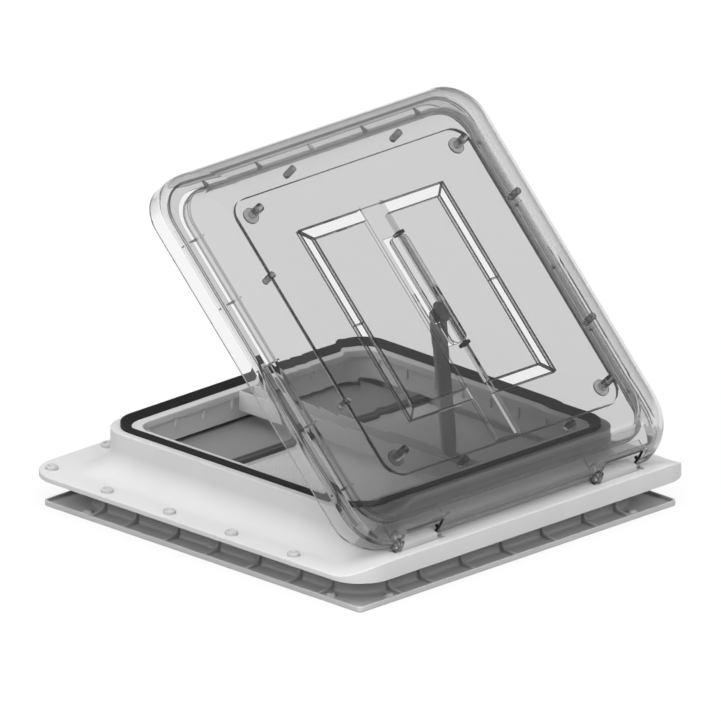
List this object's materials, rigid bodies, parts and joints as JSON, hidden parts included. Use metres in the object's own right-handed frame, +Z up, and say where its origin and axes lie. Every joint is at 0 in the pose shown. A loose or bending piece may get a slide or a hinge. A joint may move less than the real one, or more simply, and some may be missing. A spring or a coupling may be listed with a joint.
{
  "type": "roof vent cover",
  "caption": "Square hinged roof light with a clear double-skinned lid on a lift arm, a flanged outer frame and an interior trim with a sliding blind and flyscreen.",
  "frame": {"origin": "middle of the square opening, at the underside of the interior frame", "axes": "+Z up through the roof, +X along the lid's hinge, +Y from the hinge side to the opening side"},
  "size_m": [0.458, 0.458, 0.3686],
  "materials": {
    "white_moulding": "satin moulded",
    "white_trim": "satin moulded",
    "white_screw": "capped head",
    "steel": "zinc plated",
    "seal": "black",
    "outer_clear": "clear polished",
    "inner_clear": "clear polished",
    "arm_grey": "moulded",
    "bar_grey": "moulded",
    "rail_grey": "extruded",
    "clip_black": "moulded",
    "stud_dark": "smoked",
    "blind_cloth": "coated cloth",
    "screen_mesh": "woven mesh"
  },
  "bodies": {
    "base": {"outer_frame": "white_moulding", "collar_seal": "seal", "flange_screw_01": "white_screw", "flange_screw_02": "white_screw", "flange_screw_03": "white_screw", "flange_screw_04": "white_screw", "flange_screw_05": "white_screw", "flange_screw_06": "white_screw", "flange_screw_07": "white_screw", "flange_screw_08": "white_screw", "flange_screw_09": "white_screw", "flange_screw_10": "white_screw", "flange_screw_11": "white_screw", "flange_screw_12": "white_screw", "flange_screw_13": "white_screw", "flange_screw_14": "white_screw", "interior_frame": "white_trim", "clamp_screw_1": "steel", "clamp_screw_2": "steel", "clamp_screw_3": "steel", "clamp_screw_4": "steel", "bridge_beam": "white_moulding", "arm_bracket": "arm_grey", "arm_pivot_pin": "steel", "side_track_left": "white_trim", "side_track_right": "white_trim", "blind_cassette": "white_trim", "screen_cassette": "white_trim", "blind_fabric": "blind_cloth", "flyscreen_net": "screen_mesh", "hinge_knuckle_left": "white_moulding", "hinge_knuckle_right": "white_moulding", "hinge_pin_left": "steel", "hinge_pin_right": "steel"},
    "lid": {"lid_outer_skin": "outer_clear", "lid_inner_panel": "inner_clear", "hinge_leaf_left": "white_moulding", "hinge_leaf_right": "white_moulding", "corner_boss_1": "stud_dark", "corner_boss_2": "stud_dark", "corner_boss_3": "stud_dark", "corner_boss_4": "stud_dark", "spacer_pin_1": "stud_dark", "spacer_pin_2": "stud_dark", "spacer_pin_3": "stud_dark", "spacer_pin_4": "stud_dark", "spacer_pin_5": "stud_dark", "spacer_pin_6": "stud_dark", "spacer_pin_7": "stud_dark", "spacer_pin_8": "stud_dark", "guide_rail": "rail_grey", "rail_clip_lower": "clip_black", "rail_clip_upper": "clip_black"},
    "arm": {"lift_arm": "arm_grey"},
    "slider": {"slide_block": "arm_grey", "slide_pin": "steel"},
    "blind": {"blind_end_bar": "bar_grey"},
    "screen": {"screen_end_bar": "bar_grey"}
  },
  "joints": [
    {"name": "lid_hinge", "type": "hinge", "parent": "base", "child": "lid", "pos_m": [0, -0.2124, 0.0533], "axis": [1, 0, 0], "range_deg": [-45, 10]},
    {"name": "arm_pivot", "type": "hinge", "parent": "base", "child": "arm", "pos_m": [0, -0.1213, 0.0688], "axis": [1, 0, 0], "range_deg": [-74, 16.5]},
    {"name": "slide_pivot", "type": "hinge", "parent": "arm", "child": "slider", "pos_m": [0, -0.10414, 0.21996], "axis": [1, 0, 0], "range_deg": [-6.5, 29]},
    {"name": "blind_slide", "type": "slide", "parent": "base", "child": "blind", "axis": [0, 1, 0], "range_m": [0, 0.069], "deforming": ["blind_fabric"]},
    {"name": "screen_slide", "type": "slide", "parent": "base", "child": "screen", "axis": [0, 1, 0], "range_m": [-0.218, 0], "deforming": ["flyscreen_net"]}
  ],
  "couplings": [
    {"joint": "arm_pivot", "follows": "lid_hinge", "ratio": 1.64},
    {"joint": "slide_pivot", "follows": "lid_hinge", "ratio": -0.64}
  ]
}
